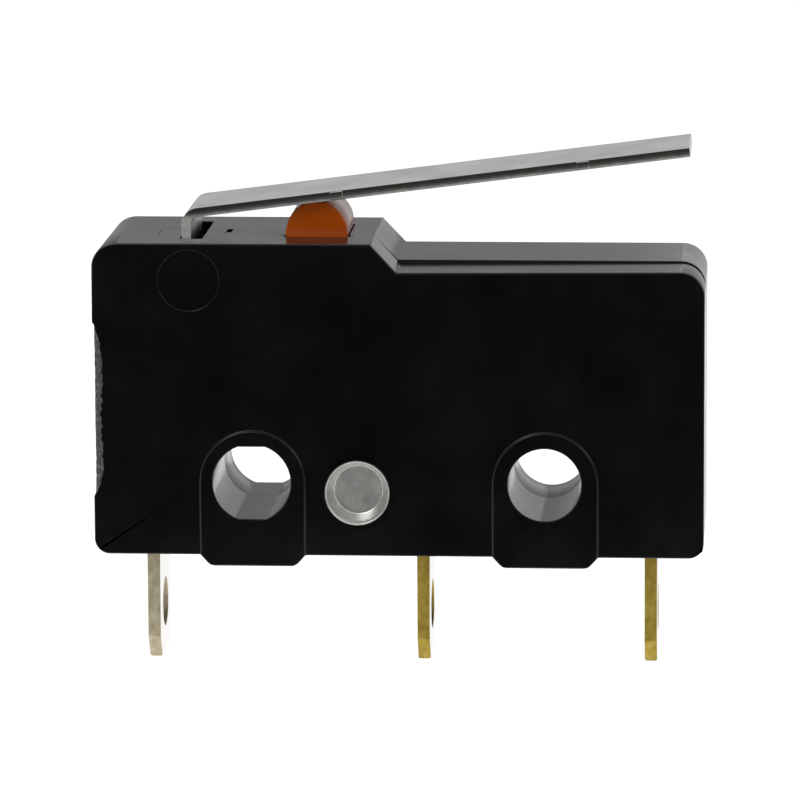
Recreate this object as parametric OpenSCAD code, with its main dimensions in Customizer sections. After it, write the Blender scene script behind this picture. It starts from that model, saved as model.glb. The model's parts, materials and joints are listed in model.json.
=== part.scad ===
// Subminiature snap-action switch with a hinge lever.
// Origin: axis of the round mounting hole, half way through the thickness.
// +X runs from the lever's hinge to its tip, +Y to the case half, +Z up. Millimetres.

/* [Case] */
// Thickness of the case between its two main faces
case_t = 6.2; // [6:0.05:6.6]
// Thickness of the moulded walls
wall_t = 0.9; // [0.7:0.05:1]
// Height of the plunger end's top above the hole line
high_top = 7.82; // [7.6:0.01:8]
// Height of the low end's top above the hole line
low_top = 7.02; // [6.9:0.01:7.3]
// How far the cover's low top lies below the case's
cover_drop = 0.09; // [0:0.01:0.15]
// Depth of the case below the hole line
case_below = 2.4; // [2.3:0.05:2.8]
// Distance from the hinge end to the elongated hole
end_margin = 5.15; // [5:0.05:5.4]
// Distance from the round hole to the far end
far_margin = 5.15; // [5:0.05:6.5]
// Radius of the two top corners
top_corner_r = 0.8; // [0.3:0.05:0.85]
// Radius of the two bottom corners
bottom_corner_r = 0.5; // [0.2:0.05:0.8]
// Distance from the plunger's axis to the top of the ramp
ramp_from_plunger = 1.85; // [1.6:0.05:2.2]
// Length of the ramp between the two top levels
ramp_len = 0.76; // [0.5:0.02:1]
// Distance from the cover's face to the parting plane
cover_t = 2.1; // [1.9:0.05:2.3]

/* [Mounting holes] */
// Distance between the two mounting holes
hole_pitch = 9.5; // [9.4:0.05:9.8]
// Diameter of the round hole, and height of the elongated one
hole_d = 2.38; // [2.2:0.01:2.5]
// Length of the elongated hole along the case
slot_len = 2.54; // [2.54:0.01:2.7]
// Radius of the raised pad round each hole
pad_r = 1.8; // [1.7:0.02:2]
// Height of the raised pads above the main faces
pad_h = 0.1; // [0.05:0.01:0.2]
// How far the pads' feet reach below the case
foot_drop = 0.35; // [0.2:0.05:0.5]
// Chamfer at the corners of each foot
foot_chamfer = 0.3; // [0.1:0.05:0.3]
// Length of the cover's share of each hole
cover_boss_len = 4.1; // [3.9:0.05:4.4]

/* [Moulding marks] */
// Radius of the ejector pin's mark on the cover
ejector_r = 1; // [0.6:0.1:1.2]
// Distance from the hinge end to the ejector mark
ejector_in = 3.14; // [2:0.02:3.4]
// How far the ejector mark lies below the high top
ejector_below = 1.21; // [1.1:0.01:2]
// Depth of the ejector mark
ejector_depth = 0.03; // [0.01:0.01:0.06]
// Length of the broken runner along the hinge end
runner_len = 5.6; // [3:0.1:6]
// Depth of the broken runner's flat
runner_depth = 0.3; // [0.1:0.02:0.4]

/* [Case rivet] */
// Distance from the round hole back to the rivet
rivet_back = 6.08; // [5.9:0.01:6.2]
// How far the rivet lies below the hole line
rivet_below = 0.33; // [0.2:0.01:0.5]
// Diameter of the rivet's dished head
rivet_head_d = 2.14; // [2:0.01:2.3]
// Diameter of the rivet's shank
rivet_shank_d = 1.1; // [0.9:0.05:1.2]
// Diameter of the flat floor of the dish
dish_floor_d = 1.62; // [1.2:0.02:1.7]
// Depth of the dish
dish_depth = 0.5; // [0.3:0.02:0.6]
// Height of the dished head
rivet_head_h = 0.75; // [0.7:0.02:0.85]
// Thickness of the clinched head on the back
clinch_h = 0.4; // [0.3:0.05:0.6]

/* [Terminals] */
// Thickness of the terminal strip
term_t = 0.42; // [0.35:0.01:0.5]
// Width of the terminal strip
term_w = 3.2; // [2.8:0.05:3.4]
// Distance from the hole line to the terminals' tips
term_reach = 6.25; // [6:0.05:6.6]
// Distance from the hinge end to the common terminal
com_from_end = 1.75; // [1.6:0.05:1.8]
// Distance from the common to the normally open terminal
com_no_pitch = 8.87; // [8.8:0.01:8.95]
// Distance from the far end to the normally closed terminal
nc_from_end = 1.74; // [1.6:0.01:1.8]
// Diameter of the soldering hole
solder_hole_d = 1.6; // [1.4:0.05:1.8]
// Distance from the tip to the soldering hole's axis
solder_hole_up = 1.65; // [1.4:0.05:1.9]
// Chamfer at the tip's corners
tip_chamfer = 0.55; // [0.2:0.05:0.7]
// Depth of the side notches that lock a terminal in the case
lock_notch = 0.25; // [0.1:0.05:0.3]

/* [Plunger] */
// Distance from the round hole back to the plunger's axis
plunger_back = 7.47; // [7.4:0.01:7.55]
// Width of the plunger along the case
plunger_w = 2.02; // [1.9:0.02:2.1]
// Depth of the plunger across the case
plunger_d = 2.92; // [2.7:0.02:3]
// Height of the centre of the plunger's rounded top
plunger_arc_z = 7.95; // [7.9:0.01:8]
// Full travel of the plunger
plunger_travel = 0.82; // [0.6:0.01:0.85]
// Width added on each side by the retaining flange
flange_lip = 0.4; // [0.3:0.05:0.5]
// Thickness of the retaining flange
flange_t = 0.7; // [0.5:0.05:0.8]
// Running clearance round the plunger
plunger_clear = 0.04; // [0.03:0.01:0.08]

/* [Lever] */
// Thickness of the lever's sheet
lever_t = 0.3; // [0.25:0.01:0.32]
// Width of the lever
lever_w = 3.6; // [3.4:0.05:3.7]
// Distance from the hinge end to the lever's upright leg
leg_from_end = 2.82; // [2.7:0.02:2.9]
// Length of the lever from its leg to its tip
lever_len = 16.44; // [15:0.02:17]
// Upward slope of the lever at rest, in degrees
lever_rise = 7.25; // [6.5:0.05:7.5]
// Outer radius of the bend above the leg
lever_bend_r = 0.55; // [0.4:0.05:0.7]
// Gap between the lever and the plunger at rest
lever_gap = 0.02; // [0.01:0.01:0.05]
// Height of the hinge axis above the hole line
hinge_z = 6.6; // [6.5:0.01:6.65]
// How far each hinge ear stands out past the lever's side
ear_out = 0.35; // [0.25:0.01:0.37]
// Distances from the leg to the stubs left where the blank was cut from its strip
stub_places = [5.06, 13.03];
// Width of those stubs
stub_w = 0.42; // [0.2:0.02:0.6]

/* [Contacts] */
// Height of the snap blade above the hole line
blade_z = 4.3; // [4.2:0.05:4.4]
// Thickness of the snap blade
blade_t = 0.12; // [0.08:0.01:0.15]
// Width of the snap blade
blade_w = 3.6; // [3.2:0.05:3.8]
// Distance from the round hole to the contacts' axis
contact_x = 1; // [0.8:0.05:1.1]
// Diameter of the contacts
contact_d = 1.6; // [1.2:0.05:1.7]
// Height of each contact's head
contact_h = 0.3; // [0.2:0.02:0.35]
// Open gap between the moving and the normally open contact
contact_gap = 0.5; // [0.4:0.02:0.55]
// Diameter of the contacts' rivet tails
contact_tail_d = 0.8; // [0.6:0.05:0.9]

/* [Hidden] */
$fn = 64;
eps = 0.02;

// Overall faces and levels
left_x = -hole_pitch - end_margin;
right_x = far_margin;
front_y = -case_t / 2;
back_y = case_t / 2;
part_y = front_y + cover_t;
bottom_z = -case_below;
foot_z = bottom_z - foot_drop;
cavity_front_y = front_y + wall_t;
cavity_back_y = back_y - wall_t;
high_inner = high_top - wall_t;
boss_y = front_y - pad_h + cover_boss_len;
slot_hole_x = -hole_pitch;
rivet_x = -rivet_back;
rivet_z = -rivet_below;

// Plunger
plunger_x = -plunger_back;
plunger_r = plunger_w / 2;
plunger_y = [-plunger_d / 2 + 0.04, plunger_d / 2 + 0.04];
ramp_x = plunger_x + ramp_from_plunger;

// Lever: the underside just clears the plunger's rounded top
leg_x = left_x + leg_from_end;
under_point = [plunger_x - (plunger_r + lever_gap) * sin(lever_rise),
               plunger_arc_z + (plunger_r + lever_gap) * cos(lever_rise)];
ear_z = [hinge_z - 0.5, hinge_z + 0.2];
hinge_x = leg_x + lever_t / 2;
leg_swing = plunger_travel / (plunger_x - hinge_x) * (high_top - hinge_z);
leg_slot_x = [leg_x - 0.05, leg_x + lever_t + leg_swing + 0.12];
leg_slot_y = [-lever_w / 2 - 0.2, lever_w / 2 + 0.2];
tongue_x = [leg_slot_x[0] - 0.78, leg_slot_x[1] + 0.66];
tongue_y = 0.2;
fit_gap = 0.02;

// Terminals
com_x = left_x + com_from_end;
no_x = com_x + com_no_pitch;
nc_x = right_x - nc_from_end;
lock_z = [bottom_z + 0.2, bottom_z + wall_t - 0.2];

// Contact levels, from the blade outwards
blade_top = blade_z + blade_t;
nc_face_z = blade_top + contact_h;
nc_arm_z = nc_face_z + contact_h;
no_face_z = blade_z - contact_h - contact_gap;
no_arm_z = no_face_z - contact_h;
anchor_x = com_x + 0.9;
shelf_end_x = com_x + 1.7;
tab_end = [shelf_end_x + 1.5, blade_z - 0.85];
window_x = [shelf_end_x + 0.4, no_x + 0.9];
tongue_half = 0.8;
rail_inner = 0.95;
stake_h = 0.18;

// Extrudes a drawing of the X-Z plane from y0 to y1
module slab(y0, y1) {
    translate([0, y1, 0]) rotate([90, 0, 0]) linear_extrude(y1 - y0) children();
}

// Puts a shape that stands on Z along +Y at a point of the X-Z plane
module along_y(x, y, z) {
    translate([x, y, z]) rotate([-90, 0, 0]) children();
}

// A box between two corners
module block(lo, hi) {
    translate(lo) cube(hi - lo);
}

// Points of an arc from angle a0 to a1
function arc(cx, cz, r, a0, a1, n = 14) =
    [for (i = [0:n]) [cx + r * cos(a0 + (a1 - a0) * i / n), cz + r * sin(a0 + (a1 - a0) * i / n)]];

// Outline of the case in the X-Z plane: a tall end, a ramp and a low end, set in by a margin
module case_outline(inset = 0, drop = 0) {
    l = left_x + inset;
    r = right_x - inset;
    b = bottom_z + inset;
    h = high_top - inset;
    t = low_top - drop - inset;
    tr = max(top_corner_r - inset, 0.15);
    br = max(bottom_corner_r - inset, 0.15);
    lean = inset * tan(atan((high_top - low_top) / ramp_len) / 2);
    polygon(concat(
        arc(l + br, b + br, br, 270, 180),
        arc(l + tr, h - tr, tr, 180, 90),
        [[ramp_x - lean, h], [ramp_x + ramp_len * (h - t) / (high_top - low_top) - lean, t]],
        arc(r - tr, t - tr, tr, 90, 0),
        arc(r - br, b + br, br, 0, -90)));
}

// Arched pad round a hole, running down into a chamfered foot
module pad_outline(x) {
    translate([x, 0]) {
        circle(pad_r);
        polygon([[-pad_r, 0], [pad_r, 0], [pad_r, bottom_z], [pad_r - foot_chamfer, foot_z],
                 [foot_chamfer - pad_r, foot_z], [-pad_r, bottom_z]]);
    }
}

// The pads' feet alone, from y0 to y1
module feet(y0, y1) {
    intersection() {
        slab(y0, y1) { pad_outline(0); pad_outline(slot_hole_x); }
        block([left_x, y0, foot_z], [right_x, y1, bottom_z + wall_t / 2]);
    }
}

// Both mounting holes, cut through from y0 to y1
module mounting_holes(y0, y1) {
    along_y(0, y0, 0) cylinder(d = hole_d, h = y1 - y0);
    intersection() {
        along_y(slot_hole_x, y0, 0) cylinder(d = slot_len, h = y1 - y0);
        block([slot_hole_x - slot_len, y0, -hole_d / 2], [slot_hole_x + slot_len, y1, hole_d / 2]);
    }
}

// Slots in the bottom wall, narrowed where the terminals' notches lock
module terminal_slots() {
    half_w = term_w / 2 + fit_gap;
    for (x = [com_x, no_x, nc_x]) {
        lo_x = x - term_t / 2 - fit_gap;
        hi_x = x + term_t / 2 + fit_gap;
        block([lo_x, -half_w, foot_z], [hi_x, half_w, lock_z[0] + fit_gap]);
        block([lo_x, lock_notch - half_w, foot_z], [hi_x, half_w - lock_notch, bottom_z + wall_t + eps]);
        block([lo_x, -half_w, lock_z[1] - fit_gap], [hi_x, half_w, bottom_z + wall_t + eps]);
    }
}

// Opening in the top wall for the plunger
module plunger_opening() {
    half_w = plunger_r + plunger_clear;
    block([plunger_x - half_w, plunger_y[0] - plunger_clear, high_inner - eps],
          [plunger_x + half_w, plunger_y[1] + plunger_clear, high_top + eps]);
}

// Slot in the top wall for the lever's leg
module leg_slot() {
    block([leg_slot_x[0], leg_slot_y[0], high_inner - eps], [leg_slot_x[1], leg_slot_y[1], high_top + eps]);
}

// Ribs under the ears that keep the lever's hinge up against the top wall
module hinge_ribs() {
    rib_top = ear_z[0] - 0.15;
    for (side = [-1, 1]) {
        y_wall = side * (cavity_back_y + eps);
        y_end = side * (lever_w / 2 - 0.2);
        block([leg_x - 0.5, min(y_wall, y_end), rib_top - 0.5], [leg_x + 0.9, max(y_wall, y_end), rib_top]);
    }
}

// Everything inside both halves that is solid from wall to parting line
module inner_bosses() {
    pad_outline(0);
    pad_outline(slot_hole_x);
    translate([rivet_x, rivet_z]) circle(rivet_shank_d / 2 + 0.75);
    translate([rivet_x - 0.5, bottom_z]) square([1, case_below - rivet_below]);
}

// Rear half of the housing
module case_shell() {
    color([0.06, 0.06, 0.065]) difference() {
        union() {
            difference() {
                slab(part_y, back_y) case_outline();
                slab(part_y - eps, cavity_back_y) case_outline(wall_t);
                block([tongue_x[0] - fit_gap, part_y - eps, high_inner - eps],
                      [tongue_x[1] + fit_gap, tongue_y + fit_gap, high_top + eps]);
            }
            intersection() {
                slab(boss_y, back_y - eps) inner_bosses();
                slab(part_y, back_y) case_outline();
            }
            slab(boss_y, back_y + pad_h) { pad_outline(0); pad_outline(slot_hole_x); }
            feet(part_y, back_y);
            intersection() {
                hinge_ribs();
                block([left_x, part_y, 0], [right_x, back_y, high_top]);
            }
        }
        mounting_holes(boss_y - eps, back_y + pad_h + eps);
        along_y(rivet_x, part_y - eps, rivet_z) cylinder(d = rivet_shank_d + 2 * fit_gap, h = case_t);
        along_y(rivet_x, back_y - clinch_h - 0.05, rivet_z) cylinder(d = rivet_head_d + 0.3, h = clinch_h + 1);
        terminal_slots();
        plunger_opening();
        leg_slot();
        translate([tongue_x[1], tongue_y - 0.75, high_inner - eps]) cube([0.18, 0.75, wall_t + 2 * eps]);
    }
}

// Front half of the housing, with the long bosses that line most of each hole
module cover() {
    head_pocket = rivet_head_h + fit_gap;
    color([0.05, 0.05, 0.055]) difference() {
        union() {
            difference() {
                slab(front_y, part_y) case_outline(0, cover_drop);
                slab(cavity_front_y, part_y + eps) case_outline(wall_t, cover_drop);
            }
            intersection() {
                slab(front_y + eps, boss_y) inner_bosses();
                slab(front_y, boss_y) case_outline(wall_t + fit_gap, cover_drop);
            }
            slab(front_y - pad_h, part_y) { pad_outline(0); pad_outline(slot_hole_x); }
            block([tongue_x[0], part_y - eps, high_inner], [tongue_x[1], tongue_y, high_top]);
            intersection() {
                hinge_ribs();
                block([left_x, front_y, 0], [right_x, part_y, high_top]);
            }
        }
        mounting_holes(front_y - pad_h - eps, boss_y + eps);
        along_y(rivet_x, front_y, rivet_z) cylinder(d = rivet_shank_d + 2 * fit_gap, h = case_t);
        along_y(rivet_x, front_y - eps, rivet_z) cylinder(d = rivet_head_d + 2 * fit_gap, h = head_pocket + eps);
        along_y(rivet_x, front_y - eps, rivet_z) cylinder(d = rivet_head_d + 0.34, h = 0.08 + eps);
        terminal_slots();
        plunger_opening();
        leg_slot();
        plunger_mouth_flare();
        ejector_mark();
        runner_break();
    }
}

// Small draft flares where the parting line meets the plunger's opening
module plunger_mouth_flare() {
    half_w = plunger_r + plunger_clear;
    translate([plunger_x, part_y, high_inner - eps]) linear_extrude(wall_t + 2 * eps)
        for (side = [0, 1]) mirror([side, 0])
            polygon([[half_w - eps, eps], [half_w + 0.34, eps], [half_w - eps, -0.12]]);
}

// Shallow round mark of an ejector pin near the hinge end
module ejector_mark() {
    along_y(left_x + ejector_in, front_y - eps, high_top - ejector_below)
        cylinder(r = ejector_r, h = ejector_depth + eps);
}

// Broken-off runner along the hinge end's front edge
module runner_break() {
    z_mid = (low_top - case_below) / 2 + 0.1;
    half_len = runner_len / 2;
    translate([left_x, front_y, z_mid]) rotate([0, 0, 42])
        block([-1, -runner_depth * 0.62, -half_len], [1, runner_depth * 0.48, half_len]);
}

// Hollow rivet with a dished head in front and a clinched head behind
module case_rivet() {
    head_r = rivet_head_d / 2;
    shank_r = rivet_shank_d / 2;
    floor_r = dish_floor_d / 2;
    total = case_t - 0.02;
    back_top = total - clinch_h + 0.3;
    color([0.72, 0.72, 0.7]) along_y(rivet_x, front_y - 0.02, rivet_z) rotate_extrude()
        polygon([[0, dish_depth], [floor_r, dish_depth], [head_r - 0.06, 0.03], [head_r - 0.03, 0],
                 [head_r, 0.04], [head_r, rivet_head_h], [shank_r, rivet_head_h],
                 [shank_r, total - clinch_h], [head_r - 0.1, total - clinch_h],
                 [head_r - 0.1, back_top - 0.12], [head_r - 0.3, back_top], [0, back_top]]);
}

// Blade of a terminal below the case, with its hole, chamfered tip and lock notches
module terminal_tail(x, top) {
    half_w = term_w / 2;
    tip = -term_reach;
    translate([x + term_t / 2, 0, 0]) rotate([90, 0, -90]) linear_extrude(term_t) difference() {
        polygon([[tip_chamfer - half_w, tip], [half_w - tip_chamfer, tip], [half_w, tip + tip_chamfer * 1.4],
                 [half_w, lock_z[0]], [half_w - lock_notch, lock_z[0]], [half_w - lock_notch, lock_z[1]],
                 [half_w, lock_z[1]], [half_w, top], [-half_w, top],
                 [-half_w, lock_z[1]], [lock_notch - half_w, lock_z[1]], [lock_notch - half_w, lock_z[0]],
                 [-half_w, lock_z[0]], [-half_w, tip + tip_chamfer * 1.4]]);
        translate([0, tip + solder_hole_up]) circle(d = solder_hole_d);
    }
}

// Hole through a strip of thickness t, from height z, for a contact's tail
module tail_hole(x, z, t) {
    translate([x, 0, z - eps]) cylinder(d = contact_tail_d + 2 * fit_gap, h = t + 2 * eps);
}

// Common terminal: folds over to a shelf for the blade, then a tab for the tongue
module common_terminal() {
    shelf_z = blade_z - term_t;
    color([0.8, 0.78, 0.68]) difference() {
        union() {
            terminal_tail(com_x, blade_z);
            block([com_x - term_t / 2, -term_w / 2, shelf_z], [shelf_end_x, term_w / 2, blade_z]);
            slab(-tongue_half, tongue_half)
                polygon([[shelf_end_x - eps, shelf_z], [shelf_end_x - eps, blade_z - 0.03],
                         [shelf_end_x + 0.1, blade_z - 0.03],
                         tab_end, [tab_end[0] - 0.16, tab_end[1] - 0.36]]);
        }
        tail_hole(anchor_x, shelf_z, term_t);
    }
}

// Normally open terminal: folds over above the round hole's boss
module no_terminal() {
    arm_low = no_arm_z - term_t;
    color([0.8, 0.78, 0.68]) difference() {
        union() {
            terminal_tail(no_x, no_arm_z);
            block([no_x - term_t / 2, -term_w / 2, arm_low], [contact_x + contact_d / 2 + 0.1, term_w / 2, no_arm_z]);
        }
        tail_hole(contact_x, arm_low, term_t);
    }
}

// Normally closed terminal: rises at the far end and folds back over the contacts
module nc_terminal() {
    color([0.8, 0.78, 0.68]) difference() {
        union() {
            terminal_tail(nc_x, nc_arm_z + term_t);
            block([contact_x - contact_d / 2 - 0.1, -term_w / 2, nc_arm_z],
                  [nc_x + term_t / 2, term_w / 2, nc_arm_z + term_t]);
        }
        tail_hole(contact_x, nc_arm_z, term_t);
    }
}

// Contact rivet, face down at z = 0: head, shank through a strip, staked end
module contact_rivet(head_h, strip) {
    r = contact_d / 2;
    tail_r = contact_tail_d / 2;
    rotate_extrude()
        polygon([[0, 0], [r - 0.12, 0], [r, 0.06], [r, head_h], [tail_r, head_h], [tail_r, head_h + strip],
                 [tail_r + 0.15, head_h + strip], [tail_r, head_h + strip + stake_h],
                 [0, head_h + strip + stake_h]]);
}

module nc_contact() {
    color([0.85, 0.85, 0.83]) translate([contact_x, 0, nc_face_z + 0.01]) contact_rivet(contact_h - 0.01, term_t);
}

module no_contact() {
    color([0.85, 0.85, 0.83]) translate([contact_x, 0, no_face_z]) mirror([0, 0, 1])
        contact_rivet(contact_h, term_t);
}

// Double-faced moving contact, closed over the blade's end
module moving_contact() {
    r = contact_d / 2;
    tail_r = contact_tail_d / 2;
    color([0.85, 0.85, 0.83]) translate([contact_x, 0, blade_z - contact_h]) rotate_extrude()
        polygon([[0, 0], [r - 0.12, 0], [r, 0.06], [r, contact_h], [tail_r, contact_h],
                 [tail_r, contact_h + blade_t], [r, contact_h + blade_t],
                 [r, 2 * contact_h + blade_t - 0.06], [r - 0.12, 2 * contact_h + blade_t],
                 [0, 2 * contact_h + blade_t]]);
}

// Rivet that fastens the blade to the common terminal's shelf
module blade_rivet() {
    color([0.75, 0.72, 0.6]) translate([anchor_x, 0, blade_top + contact_h * 0.7]) mirror([0, 0, 1])
        contact_rivet(contact_h * 0.7, blade_t + term_t);
}

// Height of the bowed tongue's underside between the blade and its seat
function tongue_z(t) = blade_z * (1 - t) + (tab_end[1] + 0.05) * t - 1.1 * 4 * t * (1 - t) * 0.35;
function tongue_px(t) = window_x[1] + 0.1 + (tab_end[0] + 0.04 - window_x[1] - 0.1) * t;

// One-piece snap blade: two rails, and a tongue bowed between the contact end and the tab
module snap_blade() {
    n = 24;
    half_w = blade_w / 2;
    neck_w = contact_d / 2 + 0.15;
    end_x = contact_x + contact_d / 2 + 0.2;
    neck_x = window_x[1] + 0.6 + half_w - neck_w;
    color([0.78, 0.6, 0.35]) {
        difference() {
            translate([0, 0, blade_z]) linear_extrude(blade_t) difference() {
                polygon([[com_x - term_t / 2, -half_w], [window_x[1] + 0.6, -half_w], [neck_x, -neck_w],
                         [end_x, -neck_w], [end_x, neck_w], [neck_x, neck_w],
                         [window_x[1] + 0.6, half_w], [com_x - term_t / 2, half_w]]);
                translate([window_x[0], -rail_inner]) square([window_x[1] - window_x[0], 2 * rail_inner]);
            }
            tail_hole(anchor_x, blade_z, blade_t);
            tail_hole(contact_x, blade_z, blade_t);
        }
        slab(-tongue_half + 0.05, tongue_half - 0.05)
            polygon(concat([for (i = [0:n]) [tongue_px(i / n), tongue_z(i / n)]],
                           [for (i = [n:-1:0]) [tongue_px(i / n), tongue_z(i / n) + blade_t]]));
    }
}

// Button with a rounded top, a flange that keeps it in, and a foot astride the tongue
module plunger() {
    flange_top = high_inner - 0.03;
    flange_low = flange_top - flange_t;
    foot_low = blade_top + 0.03;
    foot_r = 0.45;
    color([0.95, 0.55, 0.1]) difference() {
        union() {
            slab(plunger_y[0], plunger_y[1]) {
                translate([plunger_x, plunger_arc_z]) circle(plunger_r);
                translate([plunger_x - plunger_r, flange_low]) square([plunger_w, plunger_arc_z - flange_low]);
            }
            block([plunger_x - plunger_r - flange_lip, plunger_y[0], flange_low],
                  [plunger_x + plunger_r + flange_lip, plunger_y[1], flange_top]);
            slab(plunger_y[0], plunger_y[1]) {
                translate([plunger_x, foot_low + foot_r]) circle(foot_r);
                translate([plunger_x - foot_r, foot_low + foot_r])
                    square([2 * foot_r, flange_low - foot_low - foot_r + eps]);
            }
        }
        block([plunger_x - 1, -rail_inner, foot_low - 1], [plunger_x + 1, rail_inner, foot_low + 0.55]);
    }
}

// Side view of the lever: leg, bend and sloping arm, of one thickness
module lever_profile() {
    s = lever_rise;
    r_out = lever_bend_r;
    r_in = lever_bend_r - lever_t;
    top = [under_point[0] - lever_t * sin(s), under_point[1] + lever_t * cos(s)];
    bend_x = leg_x + r_out;
    bend_z = top[1] + (bend_x - top[0]) * tan(s) - r_out / cos(s);
    tip_x = leg_x + lever_len;
    tip_z = top[1] + (tip_x - top[0]) * tan(s);
    polygon(concat(
        [[leg_x, ear_z[0]]],
        arc(bend_x, bend_z, r_out, 180, 90 + s),
        [[tip_x, tip_z], [tip_x + lever_t * sin(s), tip_z - lever_t * cos(s)]],
        arc(bend_x, bend_z, r_in, 90 + s, 180),
        [[leg_x + lever_t, ear_z[0]]]));
}

// Stub left on the lever's front edge at a distance along the arm
module strip_stub(along) {
    s = lever_rise;
    x0 = leg_x + along;
    z0 = under_point[1] + (x0 - under_point[0]) * tan(s);
    translate([x0, -lever_w / 2, z0]) rotate([0, -s, 0])
        translate([-stub_w / 2, -0.07, 0.02]) cube([stub_w, 0.1, lever_t - 0.04]);
}

// Hinge lever of spring steel sheet, with two ears below the top wall
module lever() {
    color([0.78, 0.79, 0.8]) {
        slab(-lever_w / 2, lever_w / 2) lever_profile();
        block([leg_x, -lever_w / 2 - ear_out, ear_z[0]], [leg_x + lever_t, lever_w / 2 + ear_out, ear_z[1]]);
        for (along = stub_places) strip_stub(along);
    }
}

case_shell();
cover();
case_rivet();
common_terminal();
no_terminal();
nc_terminal();
no_contact();
nc_contact();
moving_contact();
snap_blade();
blade_rivet();
plunger();
lever();
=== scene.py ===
"""Looks of the subminiature lever switch: case, plunger, lever, rivet, terminals and contacts."""

import json
import math

import bmesh
import bpy
from mathutils import Matrix, Vector

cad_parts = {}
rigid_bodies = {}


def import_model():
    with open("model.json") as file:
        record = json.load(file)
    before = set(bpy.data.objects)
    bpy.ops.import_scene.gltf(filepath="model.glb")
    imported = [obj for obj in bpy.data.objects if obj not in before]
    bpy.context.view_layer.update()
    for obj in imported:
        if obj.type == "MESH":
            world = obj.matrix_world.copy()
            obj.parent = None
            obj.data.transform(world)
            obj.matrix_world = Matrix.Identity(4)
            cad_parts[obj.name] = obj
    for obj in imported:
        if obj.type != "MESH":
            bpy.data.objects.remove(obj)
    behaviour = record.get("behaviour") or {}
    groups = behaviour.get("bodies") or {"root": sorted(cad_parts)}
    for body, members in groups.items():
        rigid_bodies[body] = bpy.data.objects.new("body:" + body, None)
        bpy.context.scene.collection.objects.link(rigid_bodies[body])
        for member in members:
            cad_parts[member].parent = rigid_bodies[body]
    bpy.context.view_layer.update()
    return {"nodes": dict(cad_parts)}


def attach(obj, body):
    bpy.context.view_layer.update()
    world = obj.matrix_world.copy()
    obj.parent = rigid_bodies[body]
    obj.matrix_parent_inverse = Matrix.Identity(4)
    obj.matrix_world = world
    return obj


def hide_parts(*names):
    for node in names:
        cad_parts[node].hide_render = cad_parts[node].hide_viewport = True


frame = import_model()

MM = 0.001

# ---------------------------------------------------------------- places on the part, in millimetres

PARTING_Y = -1.0  # where the cover meets the shell
FACE_Y = -3.1  # the cover's main face
PAD_STEP_Y = -3.15  # half way up the step from the cover's face to its pads
PAD_BACK_Y = 3.05  # just inside both main faces, so that pads lie beyond it
BOSS_Y = 0.9  # where the cover's bosses meet the shell's
HINGE_END_X = -14.65
SLOT_HOLE_X = -9.5  # the elongated hole; the round one is the origin
PAD_R = 1.8
PAD_SCALE = 0.945
PAD_SHIFT = 0.02
FOOT_CHAMFER = 0.3
FOOT_SCALE = PAD_SCALE * 0.98
FOOT_TOP_Z = -2.35  # just above the case's bottom
FOOT_Z = -2.7  # just above the feet's lower faces
MARK_RELIEF = 0.03
EJECTOR_X, EJECTOR_Z = -11.51, 6.61
EJECTOR_REACH = 1.1
RIVET_X, RIVET_Z = -6.08, -0.33
RIVET_WELL_REACH = 1.3
DISH_REACH = 0.85
DISH_Y = (-2.75, -2.45)  # the dish's floor lies between these
DISH_DEEPER = 0.18
STEP_LOW_Z = 5.9  # from here up to the low top the step's taper grows to its full amount
STEP_SPAN_Z = 0.9
STEP_FROM_X = -4.85
STEP_SINK = 0.03
STEP_RISE = 0.065
STEP_SPAN_X = 9
SCAR_Z = (-0.5, 5.25)
SCAR_CUTS = 56
SCAR_DEPTH = 0.29
TEAR_X = -14.5  # face of the tearing block that is shaped
STUBS_X = (-6.79, 1.17)
STUB_REACH = 0.3
STRIP_EDGE_Y = -1.79  # just behind the strip's blanked edge
STUB_FACE_Y = -1.85  # just behind the stubs' broken faces
TAB_TIP_Z = -6.2
LEVER_RISE = math.radians(7.25)
LEVER_THICK = 0.3 * MM
LEVER_TOP_POINT = (-7.97 * MM, 0, 9.18 * MM)

# ---------------------------------------------------------------- rounding and shading

SHARP_EDGE = math.radians(35)
SMOOTH_ANGLE = math.radians(60)
SAME_PLANE = math.radians(0.5)
SLIVER_PLANE = math.radians(0.2)
SAME_POINT = 1e-7
FLAT_AREA = 0.3 * MM * MM
FACES_ALONG_Y = 0.9999
EDGE_WIDTHS = {"feet": 0.18, "case": 0.045, "pad": 0.03, "bosses": 0.02, "ejector": 0.008,
               "tab_tip": 0.11, "tab": 0.03, "stub": 0.03, "strip": 0.015}

# ---------------------------------------------------------------- light levels

BEHIND_LEVEL = 0.4
BEHIND_RIGHT_LEVEL = 0.68
FRONT_LEVEL = 0.02
WORLD_LEVEL = 0.6
PAPER_LIFT = 0.7

# ---------------------------------------------------------------- camera

CAMERA_PLACE = Vector((7.612, -184.377, 34.870)) * MM
CAMERA_TURN_LEFT = math.radians(3.876)
CAMERA_TILT_DOWN = math.radians(10.029)
CAMERA_ROLL = math.radians(-0.268)
CAMERA_LENS = 257.08
CAMERA_SENSOR = 36


def place_camera():
    """A long lens a little above the case and to the right of its middle."""
    data = bpy.data.cameras.new("camera")
    data.sensor_fit = "HORIZONTAL"
    data.sensor_width = CAMERA_SENSOR
    data.lens = CAMERA_LENS
    data.clip_start = 0.001
    data.clip_end = 10
    camera = bpy.data.objects.new("camera", data)
    bpy.context.scene.collection.objects.link(camera)
    turn = Matrix.Rotation(CAMERA_TURN_LEFT, 4, "Z")
    tilt = Matrix.Rotation(math.pi / 2 - CAMERA_TILT_DOWN, 4, "X")
    roll = Matrix.Rotation(CAMERA_ROLL, 4, "Z")
    camera.matrix_world = Matrix.Translation(CAMERA_PLACE) @ turn @ tilt @ roll
    bpy.context.scene.camera = camera


# ---------------------------------------------------------------- materials

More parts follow.
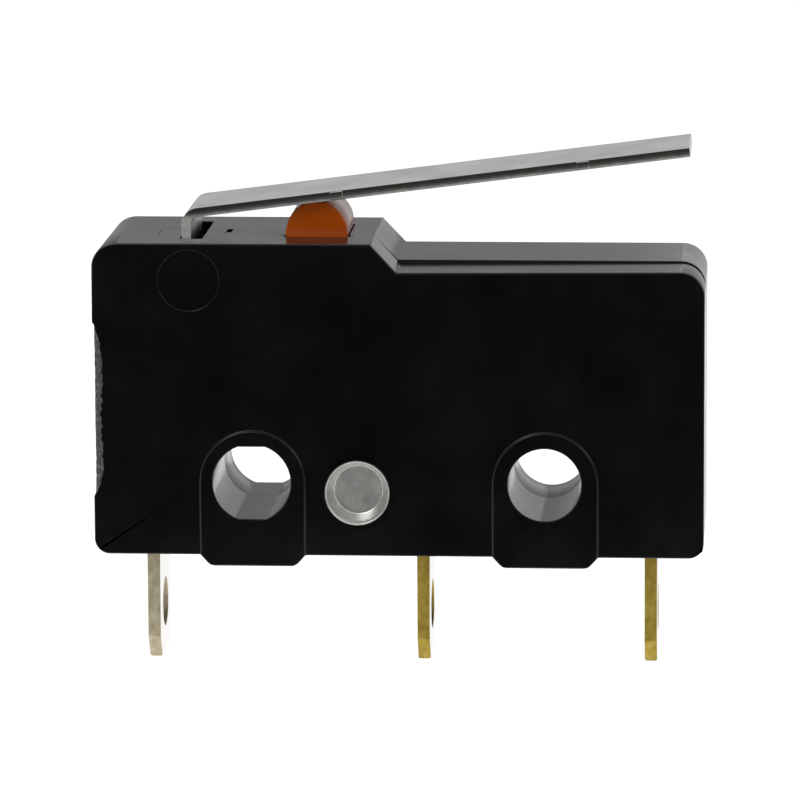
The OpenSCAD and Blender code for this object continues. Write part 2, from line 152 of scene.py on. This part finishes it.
def linear(code):
    """A six-digit sRGB hex colour as linear red, green, blue and a full alpha."""
    values = [int(code[i:i + 2], 16) / 255 for i in (0, 2, 4)]
    return [v / 12.92 if v <= 0.04045 else ((v + 0.055) / 1.055) ** 2.4 for v in values] + [1.0]


def add_node(tree, kind, settings=(), links=()):
    """Adds one node: settings are (attribute or socket, value) pairs, links are (socket, from) pairs."""
    node = tree.nodes.new("ShaderNode" + kind)
    for key, value in settings:
        if isinstance(key, str) and hasattr(node, key) and key not in node.inputs:
            setattr(node, key, value)
        else:
            node.inputs[key].default_value = value
    for key, source in links:
        tree.links.new(source, node.inputs[key])
    return node


def new_material(name, shader_settings):
    """An empty material with its output and one Principled shader, and Object coordinates."""
    material = bpy.data.materials.new(name)
    material.use_nodes = True
    tree = material.node_tree
    tree.nodes.clear()
    output = add_node(tree, "OutputMaterial")
    shader = add_node(tree, "BsdfPrincipled", shader_settings)
    tree.links.new(shader.outputs[0], output.inputs["Surface"])
    place = add_node(tree, "TexCoord").outputs["Object"]
    return material, tree, shader, place


def colour_steps(tree, factor, steps):
    """A colour ramp from (position, hex colour) pairs."""
    ramp = add_node(tree, "ValToRGB", links=[(0, factor)])
    points = ramp.color_ramp.elements
    while len(points) < len(steps):
        points.new(0.5)
    for point, (position, code) in zip(points, steps):
        point.position = position
        point.color = linear(code)
    return ramp.outputs[0]


def noise(tree, place, size_mm, detail=2.0, rough=0.5, stretch=(1, 1, 1)):
    """Noise whose lumps are about size_mm across, drawn out along an axis by stretch."""
    scale = [1 / (size_mm * MM) / s for s in stretch]
    mapped = add_node(tree, "Mapping", [("Scale", scale)], [("Vector", place)])
    node = add_node(tree, "TexNoise", [("Scale", 1.0), ("Detail", detail), ("Roughness", rough)],
                    [("Vector", mapped.outputs[0])])
    return node.outputs[0]


def span(tree, value, low, high, to_low, to_high):
    """Carries value from low..high over to to_low..to_high, held at both ends."""
    node = add_node(tree, "MapRange", [("From Min", low), ("From Max", high), ("To Min", to_low),
                                       ("To Max", to_high)], [("Value", value)])
    return node.outputs[0]


def bump(tree, shader, height, depth_mm):
    """Gives the shader a relief of depth_mm from a height of 0 to 1."""
    node = add_node(tree, "Bump", [("Strength", 1.0), ("Distance", depth_mm * MM)], [("Height", height)])
    tree.links.new(node.outputs[0], shader.inputs["Normal"])


def moulded_resin(name, dark, light, ior, smooth, coarse):
    """Moulded PBT resin: even colour, a fine eroded-mould grain and faint flow marks in the gloss."""
    material, tree, shader, place = new_material(name, [("IOR", ior)])
    # flow marks 2 mm across
    flow = noise(tree, place, 2.0, 3.0, 0.6)
    tree.links.new(colour_steps(tree, flow, [(0.3, dark), (0.7, light)]), shader.inputs["Base Color"])
    # mould grain is about 0.02 mm on the real one, drawn at 0.09 mm so that it shows
    grain = noise(tree, place, 0.09, 2.0, 0.6)
    tree.links.new(span(tree, flow, 0.3, 0.7, smooth, coarse), shader.inputs["Roughness"])
    bump(tree, shader, grain, 0.0012)
    return material


def broken_resin():
    """PBT where the runner was snapped off: dull, pale and torn, with crumbs 0.15 mm across."""
    material, tree, shader, place = new_material("black_PBT_broken_off", [("IOR", 1.45)])
    crumbs = noise(tree, place, 0.16, 5.0, 0.75)
    steps = [(0.35, "141415"), (0.52, "3C3C3C"), (0.66, "8C8C8A"), (0.8, "C4C4C2")]
    tree.links.new(colour_steps(tree, crumbs, steps), shader.inputs["Base Color"])
    shader.inputs["Roughness"].default_value = 0.75
    bump(tree, shader, crumbs, 0.06)
    return material


def rolled_metal(name, dark, light, rough, streak_axis, streak_mm=0.05, depth=0.0006):
    """Rolled strip: long fine lines from the rolls, running along one axis."""
    material, tree, shader, place = new_material(name, [("Metallic", 1.0)])
    stretch = [40 if i == streak_axis else 1 for i in range(3)]
    lines = noise(tree, place, streak_mm, 3.0, 0.6, stretch)
    cloud = noise(tree, place, 1.5, 3.0, 0.55)
    both = add_node(tree, "Math", [("operation", "MULTIPLY_ADD"), (1, 0.5)], [(0, lines)])
    tree.links.new(span(tree, cloud, 0.2, 0.8, 0.0, 0.5), both.inputs[2])
    tree.links.new(colour_steps(tree, both.outputs[0], [(0.3, dark), (0.7, light)]),
                   shader.inputs["Base Color"])
    tree.links.new(span(tree, cloud, 0.3, 0.7, rough * 0.85, rough * 1.15), shader.inputs["Roughness"])
    bump(tree, shader, lines, depth)
    return material


def blanked_edge(name, dark, middle, light, rough):
    """Sheared edge of a strip: metal torn in short steps and smeared by the die."""
    material, tree, shader, place = new_material(name, [("Metallic", 1.0)])
    tears = noise(tree, place, 0.22, 4.0, 0.65, (1.0, 1.0, 1.6))
    tree.links.new(colour_steps(tree, tears, [(0.3, dark), (0.5, middle), (0.72, light)]),
                   shader.inputs["Base Color"])
    tree.links.new(span(tree, tears, 0.3, 0.7, rough, rough * 1.3), shader.inputs["Roughness"])
    bump(tree, shader, tears, 0.012)
    return material


def lever_edge():
    """Lever's blanked edge: darker towards its top as painted shade on the rolled-over edge, paler towards
    its foot as a painted highlight, broken up by real torn steps.
    """
    material, tree, shader, place = new_material("stainless_edge_painted_shade_and_highlight", [("Metallic", 1.0)])
    # height across the strip, counted from its lower face: the strip rises 7.25 degrees
    normal = Vector((-math.sin(LEVER_RISE), 0, math.cos(LEVER_RISE)))
    height = add_node(tree, "VectorMath", [("operation", "DOT_PRODUCT"), (1, normal)], [(0, place)])
    top = normal.dot(Vector(LEVER_TOP_POINT))
    across = span(tree, height.outputs["Value"], top - LEVER_THICK, top, 0, 1)
    tears = noise(tree, place, 0.14, 4.0, 0.7, (2.5, 1, 1))
    wavy = add_node(tree, "Math", [("operation", "MULTIPLY_ADD"), (1, 0.35)], [(0, tears), (2, across)])
    # painted highlight near the lower face, grading up to painted shade on the rolled-over top
    steps = [(0.15, "C8C8C5"), (0.45, "A4A4A1"), (0.7, "5A5A57"), (1.0, "383835")]
    tree.links.new(colour_steps(tree, wavy.outputs[0], steps), shader.inputs["Base Color"])
    shader.inputs["Roughness"].default_value = 0.55
    bump(tree, shader, tears, 0.01)
    return material


# ---------------------------------------------------------------- pieces

def only(piece):
    """Leaves one piece selected and active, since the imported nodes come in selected."""
    bpy.context.view_layer.update()
    for other in bpy.context.scene.objects:
        other.select_set(False)
    piece.select_set(True)
    bpy.context.view_layer.objects.active = piece


def join_flat_faces(piece, angle):
    """Joins neighbouring faces of one material that lie in one plane within an angle."""
    only(piece)
    bpy.ops.object.mode_set(mode="EDIT")
    bpy.ops.mesh.select_all(action="SELECT")
    bpy.ops.mesh.dissolve_limited(angle_limit=angle, delimit={"MATERIAL"})
    bpy.ops.object.mode_set(mode="OBJECT")


def joined_copy(node, name, change=None):
    """A piece from a node's shape, changed while still in triangles, then joined into whole faces."""
    piece = bpy.data.objects.new(name, frame["nodes"][node].data.copy())
    piece.data.name = name
    piece.data.materials.clear()
    bpy.context.scene.collection.objects.link(piece)
    only(piece)
    bpy.ops.object.mode_set(mode="EDIT")
    bpy.ops.mesh.select_all(action="SELECT")
    bpy.ops.mesh.customdata_custom_splitnormals_clear()
    bpy.ops.mesh.remove_doubles(threshold=SAME_POINT)
    bpy.ops.object.mode_set(mode="OBJECT")
    if change:
        change(piece)
    join_flat_faces(piece, SAME_PLANE)
    return piece


def round_edges(piece, widest_mm, width_of, segments=2):
    """Rounds each sharp edge by width_of(its two ends, in millimetres); 0 leaves it sharp."""
    shape = bmesh.new()
    shape.from_mesh(piece.data)
    weight = shape.edges.layers.float.new("bevel_weight_edge")
    for edge in shape.edges:
        if edge.calc_face_angle(0) > SHARP_EDGE:
            edge[weight] = width_of(*(vert.co / MM for vert in edge.verts)) / widest_mm
    shape.to_mesh(piece.data)
    shape.free()
    only(piece)
    rounded = piece.modifiers.new("edges", "BEVEL")
    rounded.width = widest_mm * MM
    rounded.segments = segments
    rounded.limit_method = "WEIGHT"
    rounded.use_clamp_overlap = False
    bpy.ops.object.modifier_apply(modifier="edges")
    # most slivers that the rounding leaves inside flat faces are joined to them
    join_flat_faces(piece, SLIVER_PLANE)


def even_shading(piece):
    """Smooth across curved faces; flat across flat ones and on the torn scar, a piece's second material."""
    only(piece)
    bpy.ops.object.shade_smooth_by_angle(angle=SMOOTH_ANGLE)
    for face in piece.data.polygons:
        flat = abs(face.normal.y) > FACES_ALONG_Y or len(face.vertices) > 4 and face.area > FLAT_AREA
        if flat or face.material_index == 1:
            face.use_smooth = False
    weighted = piece.modifiers.new("flats", "WEIGHTED_NORMAL")
    weighted.keep_sharp = True
    weighted.weight = 100
    bpy.ops.object.modifier_apply(modifier="flats")


def finish_faces(piece, materials, choose):
    """Gives each face the material whose number choose(centre, normal) names."""
    for material in materials:
        piece.data.materials.append(material)
    for face in piece.data.polygons:
        face.material_index = choose(face.center, face.normal)


def stand_for(piece, node, body):
    """The piece takes the node's place, on its body."""
    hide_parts(node)
    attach(piece, body)


# black PBT: semi-gloss, nearly black face on, and a clear grey sheen where light grazes it
BLACK_RESIN = moulded_resin("black_PBT_moulded", "080808", "0B0B0B", 1.4, 0.15, 0.22)
# orange PBT: warm, even and waxy
ORANGE_RESIN = moulded_resin("orange_PBT_moulded", "B44A00", "C05600", 1.4, 0.12, 0.18)
BROKEN_RESIN = broken_resin()
# stainless sheet: pale, cold-rolled, softly mirror-like along its length
LEVER_SHEET = rolled_metal("stainless_strip_rolled", "DADBDD", "E6E7E8", 0.32, 0)
LEVER_EDGE = lever_edge()
# nickel-plated steel: drawn and clinched, grey, with bright turned rims
RIVET_STEEL = rolled_metal("steel_drawn_nickel_plated", "B4B4B1", "D6D6D2", 0.32, 1, 0.12, 0.002)
# silver plate over brass strip: near white
PLATED_FACE = rolled_metal("brass_strip_silver_plated", "D4D2CB", "E2E0DA", 0.22, 2)
COMMON_EDGE = blanked_edge("brass_edge_thinly_plated", "A39A80", "B8AE92", "CDC4AC", 0.45)
BRASS_EDGE = blanked_edge("brass_edge_blanked", "8E7A34", "A8923F", "BFA85C", 0.42)
# fine silver, cold-headed
CONTACT_SILVER = rolled_metal("fine_silver_cold_headed", "D8D8D4", "EAEAE6", 0.25, 0, 0.08)
# beryllium copper spring strip
SPRING_COPPER = rolled_metal("beryllium_copper_strip_rolled", "B98250", "D09A62", 0.25, 0)


def near(value, target, within=0.03):
    """Whether two values in millimetres are the same for the choice of an edge."""
    return abs(value - target) < within


def along_y(a, b):
    """Whether an edge runs from front to back."""
    return near(a.x, b.x) and near(a.z, b.z)


def within_reach(points, x, z, reach):
    """Whether all points lie within reach of a line from front to back at x and z."""
    return max(math.hypot(point.x - x, point.z - z) for point in points) < reach


def case_edge(a, b):
    """Feet are rounded most, and the joint between the bosses inside the holes least."""
    if max(a.z, b.z) < FOOT_Z + 0.1 and along_y(a, b):
        return EDGE_WIDTHS["feet"]
    bosses = near(a.y, BOSS_Y) and near(b.y, BOSS_Y)
    return EDGE_WIDTHS["bosses" if bosses else "case"]


def cover_edge(a, b):
    """As the case, but sharp on the parting line, the scar and rivet's well; the ejector ring is faint."""
    low_z, high_z = SCAR_Z
    front_y, back_y = min(a.y, b.y), max(a.y, b.y)
    if back_y > PARTING_Y - 0.03 and front_y > PARTING_Y - 0.2:
        return case_edge(a, b) if near(a.y, BOSS_Y) else 0
    if max(a.x, b.x) < HINGE_END_X + 0.55 and back_y < -2.2 and low_z - 0.1 < a.z < high_z + 0.1:
        return 0
    if within_reach((a, b), EJECTOR_X, EJECTOR_Z, EJECTOR_REACH):
        return EDGE_WIDTHS["ejector"]
    if within_reach((a, b), RIVET_X, RIVET_Z, RIVET_WELL_REACH):
        return 0
    on_face = front_y > PAD_STEP_Y and back_y < -PAD_BACK_Y and a.z < 2
    pad = back_y < PAD_STEP_Y or on_face
    return EDGE_WIDTHS["pad"] if pad and max(a.z, b.z) > FOOT_TOP_Z + 0.05 else case_edge(a, b)


def shell_edge(a, b):
    """As the case, but sharp along the parting line and the recess of the cover's tongue."""
    recess = a.z > 7 and b.z > 7 and -12.8 < a.x < -10.3 and max(a.y, b.y) < 0.3
    return 0 if min(a.y, b.y) < PARTING_Y + 0.03 or recess else case_edge(a, b)


def narrow_pads(piece):
    """Brings the outline of both pads and their feet in by a tenth of a millimetre."""
    for vert in piece.data.vertices:
        x, y, z = vert.co / MM
        for middle in (0, SLOT_HOLE_X):
            aside = x - middle
            out = abs(aside) if z <= 0 else math.hypot(aside, z)
            if near(out, PAD_R) and z < 2 and (abs(y) > PAD_BACK_Y or z < FOOT_TOP_Z):
                vert.co.x = (middle + PAD_SHIFT + aside * PAD_SCALE) * MM
                vert.co.z *= PAD_SCALE if z > 0 else 1
            elif z < FOOT_Z and near(out, PAD_R - FOOT_CHAMFER):
                vert.co.x = (middle + PAD_SHIFT + aside * FOOT_SCALE) * MM


def tab_edge(a, b):
    """The tip's corners are coined over."""
    return EDGE_WIDTHS["tab_tip" if max(a.z, b.z) < TAB_TIP_Z and along_y(a, b) else "tab"]


def lever_strip_edge(a, b):
    """The stubs left by the carrier strip stand on the edge, so the edge beside them is only broken."""
    if max(a.y, b.y) < STRIP_EDGE_Y:
        if min(a.y, b.y) < STUB_FACE_Y:
            return EDGE_WIDTHS["stub"]
        if any(abs(point.x - stub) < STUB_REACH for point in (a, b) for stub in STUBS_X):
            return 0
    return EDGE_WIDTHS["strip"]


def cut_by(piece, tool, how):
    """Joins the tool's solid to the piece or takes it away, then removes the tool."""
    only(piece)
    change = piece.modifiers.new("cut", "BOOLEAN")
    change.operation = how
    change.solver = "EXACT"
    change.material_mode = "TRANSFER"
    change.object = tool
    bpy.ops.object.modifier_apply(modifier="cut")
    bpy.data.objects.remove(tool)


def box_tool(name, low, high, material):
    """A plain block between two corners in millimetres, to join or cut with."""
    only(frame["nodes"]["cover"])
    middle = (Vector(low) + Vector(high)) / 2
    bpy.ops.mesh.primitive_cube_add(size=1, location=middle * MM)
    tool = bpy.context.active_object
    tool.name = name
    tool.scale = (Vector(high) - Vector(low)) * MM
    bpy.ops.object.transform_apply(location=True, rotation=False, scale=True)
    tool.data.materials.append(material)
    return tool


def torn_wave(y, z):
    """Unevenness of the torn flat, in millimetres: two long swells and two runs of crumbs."""
    wave = 0.02 * math.sin(z * 2.3) + 0.014 * math.sin(z * 9.1 + y * 7) + 0.016 * math.sin(z * 23 + y * 13)
    return wave + 0.012 * math.sin(z * 41 - y * 29)


def tear_off_runner(cover):
    """The runner broke off along the hinge end, and left a rough flat across the front corner."""
    low_z, high_z = SCAR_Z
    tool = box_tool("tear", (-15.2, -3.6, low_z), (TEAR_X, -1.05, high_z), BROKEN_RESIN)
    shape = bmesh.new()
    shape.from_mesh(tool.data)
    shaped_x = (TEAR_X - 0.01) * MM
    inner = [edge for edge in shape.edges if all(vert.co.x > shaped_x for vert in edge.verts)]
    bmesh.ops.subdivide_edges(shape, edges=inner, cuts=SCAR_CUTS, use_grid_fill=True)
    for vert in shape.verts:
        x, y, z = vert.co / MM
        if x < TEAR_X - 0.01:
            continue
        # the flat runs out at both ends, and falls from the hinge end's face to its depth at the front
        end = max(0, min((z - low_z) / 0.7, (high_z - z) / 0.9, 1))
        slope = min(1, max(0, (-y - 2.5) / 0.6))
        depth = 0.01 + SCAR_DEPTH * slope + torn_wave(y, z) * (0.3 + slope)
        vert.co.x = (HINGE_END_X - 0.01 + depth * end ** 0.6) * MM
    shape.to_mesh(tool.data)
    shape.free()
    cut_by(cover, tool, "DIFFERENCE")


def shape_cover(cover):
    """Narrower pads, the tapering step beside the shell, and the torn runner scar."""
    cover.data.materials.append(BLACK_RESIN)
    narrow_pads(cover)
    for vert in cover.data.vertices:
        x, y, z = vert.co / MM
        # beside the ramp the cover's edge lies deeper below the shell's than at the far end
        if z > STEP_LOW_Z and x > STEP_FROM_X and y < PARTING_Y + 0.01:
            share = min(1, (z - STEP_LOW_Z) / STEP_SPAN_Z)
            vert.co.z += share * (STEP_RISE * (x + 4.8) / STEP_SPAN_X - STEP_SINK) * MM
    # the source's scar is a narrow slot, which this block fills
    corner = box_tool("corner", (HINGE_END_X, FACE_Y, SCAR_Z[0] - 0.15),
                      (-13.75, -2.2, SCAR_Z[1] + 0.15), BLACK_RESIN)
    cut_by(cover, corner, "UNION")
    tear_off_runner(cover)


def dress_case():
    """Both mouldings, with the torn scar of the runner on the hinge end."""
    shell = joined_copy("case_shell", "case_shell_moulding", narrow_pads)
    round_edges(shell, EDGE_WIDTHS["feet"], shell_edge, 3)
    shell.data.materials.append(BLACK_RESIN)
    even_shading(shell)
    stand_for(shell, "case_shell", "housing")

    cover = joined_copy("cover", "cover_moulding", shape_cover)
    round_edges(cover, EDGE_WIDTHS["feet"], cover_edge, 3)
    even_shading(cover)
    stand_for(cover, "cover", "housing")


def dress_terminal(node, name, edge):
    """Plated faces, bare blanked edges and hole."""
    tab = joined_copy(node, name)
    round_edges(tab, EDGE_WIDTHS["tab_tip"], tab_edge)
    even_shading(tab)
    finish_faces(tab, [PLATED_FACE, edge],
                 lambda centre, normal: 0 if abs(normal.y) < 0.5 and abs(normal.x) > 0.5 else 1)
    stand_for(tab, node, "housing")


def dress_lever():
    """Rolled faces, and blanked edges with painted shade along their top and a painted highlight lower down.
    """
    strip = joined_copy("lever", "lever_strip")
    round_edges(strip, EDGE_WIDTHS["stub"], lever_strip_edge)
    even_shading(strip)
    finish_faces(strip, [LEVER_SHEET, LEVER_EDGE], lambda centre, normal: 1 if abs(normal.y) > 0.7 else 0)
    stand_for(strip, "lever", "lever")


def deepen_dish(rivet):
    """The dish of the rivet's head is drawn deeper at its floor."""
    for vert in rivet.data.vertices:
        place = vert.co / MM
        if DISH_Y[0] < place.y < DISH_Y[1] and within_reach((place,), RIVET_X, RIVET_Z, DISH_REACH):
            vert.co.y += DISH_DEEPER * MM


def dress_small_parts():
    """Plunger, rivet, contacts and blade."""
    for node, name, body, slot, edge, material in (
            ("plunger", "plunger_button", "plunger", "plunger_resin", 0.05, ORANGE_RESIN),
            ("case_rivet", "case_rivet_clinched", "housing", "rivet_steel", 0.03, RIVET_STEEL),
            ("no_contact", "no_contact_button", "housing", "contact_silver", 0.04, CONTACT_SILVER),
            ("nc_contact", "nc_contact_button", "housing", "contact_silver", 0.04, CONTACT_SILVER),
            ("moving_contact", "moving_contact_button", "blade", "contact_silver", 0.04, CONTACT_SILVER),
            ("blade_rivet", "blade_rivet_headed", "housing", "terminal_brass", 0.03, BRASS_EDGE),
            ("snap_blade", "snap_blade_spring", "blade", "blade_copper", 0.015, SPRING_COPPER)):
        piece = joined_copy(node, name)
        if node == "case_rivet":
            deepen_dish(piece)
        round_edges(piece, edge, lambda a, b: edge)
        even_shading(piece)
        finish_faces(piece, [material], lambda centre, normal: 0)
        stand_for(piece, node, body)


def mould_mark(word, left, right, low, high):
    """One raised mark on the cover, such as moulders put beside each terminal. Values in millimetres."""
    only(frame["nodes"]["cover"])
    bpy.ops.object.text_add(location=(0, 0, 0))
    mark = bpy.context.active_object
    mark.name = "mark_" + word
    mark.data.body = word
    mark.data.extrude = MARK_RELIEF
    mark.data.resolution_u = 6
    bpy.ops.object.convert(target="MESH")
    mark = bpy.context.active_object
    corners = [v.co.copy() for v in mark.data.vertices]
    x0, x1 = min(c.x for c in corners), max(c.x for c in corners)
    y0, y1 = min(c.y for c in corners), max(c.y for c in corners)
    for v in mark.data.vertices:
        x = left + (v.co.x - x0) / (x1 - x0) * (right - left)
        z = low + (v.co.y - y0) / (y1 - y0) * (high - low)
        v.co = Vector((x, FACE_Y - v.co.z, z)) * MM
    only(mark)
    bpy.ops.object.mode_set(mode="EDIT")
    bpy.ops.mesh.select_all(action="SELECT")
    bpy.ops.mesh.remove_doubles(threshold=1e-6)
    bpy.ops.mesh.normals_make_consistent(inside=False)
    bpy.ops.object.mode_set(mode="OBJECT")
    finish_faces(mark, [BLACK_RESIN], lambda centre, normal: 0)
    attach(mark, "housing")


# ---------------------------------------------------------------- stage

def flat_card(name, corners, material):
    """One flat card of the stage, from its four corners in millimetres."""
    mesh = bpy.data.meshes.new(name)
    mesh.from_pydata([Vector(c) * MM for c in corners], [], [(0, 1, 2, 3)])
    mesh.materials.append(material)
    card = bpy.data.objects.new(name, mesh)
    bpy.context.scene.collection.objects.link(card)
    return card


def glowing(name, code, strength):
    """A card that sends out one even level, whatever lights it."""
    material = bpy.data.materials.new(name)
    material.use_nodes = True
    tree = material.node_tree
    tree.nodes.clear()
    glow = add_node(tree, "Emission", [("Color", linear(code)), ("Strength", strength)])
    add_node(tree, "OutputMaterial", links=[("Surface", glow.outputs[0])])
    return material


def seen_directly(tree):
    """1 for rays from the camera, a reflection or through a clear piece, and 0 for all others."""
    rays = add_node(tree, "LightPath")
    seen = rays.outputs["Is Camera Ray"]
    for kind in ("Is Glossy Ray", "Is Transmission Ray"):
        either = add_node(tree, "Math", [("operation", "MAXIMUM")], [(0, seen), (1, rays.outputs[kind])])
        seen = either.outputs[0]
    return seen


def upright_card(name, left, right, y, high, level):
    """An upright card from the floor's height to high, all in millimetres, that glows at one level."""
    corners = [(left, y, -29), (right, y, -29), (right, y, high), (left, y, high)]
    side = "_behind" if y > 0 else "_in_front"
    return flat_card(name + side, corners, glowing(name, "FFFFFF", level))


def set_stage():
    """White paper below, white all round, two grey cards behind and a dark one in front."""
    paper = bpy.data.materials.new("white_paper")
    paper.use_nodes = True
    tree = paper.node_tree
    tree.nodes.clear()
    matt = add_node(tree, "BsdfDiffuse", [("Color", linear("E6E6E6"))])
    lift = add_node(tree, "Emission", [("Strength", PAPER_LIFT)])
    lifted = add_node(tree, "AddShader", links=[(0, matt.outputs[0]), (1, lift.outputs[0])])
    both = add_node(tree, "MixShader", links=[(0, seen_directly(tree)), (1, matt.outputs[0]),
                                              (2, lifted.outputs[0])])
    add_node(tree, "OutputMaterial", links=[("Surface", both.outputs[0])])
    wide, floor_z = 4000, -30
    corners = [(-wide, -wide, floor_z), (wide, -wide, floor_z), (wide, wide, floor_z), (-wide, wide, floor_z)]
    flat_card("floor", corners, paper)

    hidden = [
        upright_card("grey_card", -260, 0, 240, 130, BEHIND_LEVEL),
        upright_card("pale_card", 0, 260, 240, 130, BEHIND_RIGHT_LEVEL),
        upright_card("dark_card", -90, 90, -90, 6, FRONT_LEVEL),
    ]
    for card in hidden:
        card.visible_camera = False
        card.visible_diffuse = False
        card.visible_shadow = False

    world = bpy.data.worlds.new("white_room")
    bpy.context.scene.world = world
    world.use_nodes = True
    tree = world.node_tree
    tree.nodes.clear()
    white = add_node(tree, "Background", [("Strength", 1.0)])
    soft = add_node(tree, "Background", [("Strength", WORLD_LEVEL)])
    both = add_node(tree, "MixShader", links=[(0, seen_directly(tree)), (1, soft.outputs[0]),
                                              (2, white.outputs[0])])
    add_node(tree, "OutputWorld", links=[("Surface", both.outputs[0])])


def softbox(name, place, aim, size, watts):
    """A square lamp at place, turned towards aim, both in millimetres."""
    data = bpy.data.lights.new(name, "AREA")
    data.shape = "SQUARE"
    data.size = size * MM
    data.energy = watts
    lamp = bpy.data.objects.new(name, data)
    bpy.context.scene.collection.objects.link(lamp)
    direction = (Vector(aim) - Vector(place)) * MM
    lamp.matrix_world = (Matrix.Translation(Vector(place) * MM)
                         @ direction.to_track_quat("-Z", "Y").to_matrix().to_4x4())


place_camera()
set_stage()
softbox("key_lamp", (-120, -160, 220), (-4, 0, 2), 150, 0.25)
softbox("right_lamp", (200, -60, 120), (-4, 0, 2), 110, 0.06)

dress_case()
dress_terminal("common_terminal", "common_tab", COMMON_EDGE)
dress_terminal("no_terminal", "no_tab", BRASS_EDGE)
dress_terminal("nc_terminal", "nc_tab", BRASS_EDGE)
dress_lever()
dress_small_parts()
mould_mark("C", -13.0, -12.35, -1.75, -0.9)
mould_mark("NO", -4.4, -2.6, -1.8, -0.7)
mould_mark("NC", 2.8, 4.7, -1.9, -0.75)

bpy.context.scene.view_settings.view_transform = "Standard"
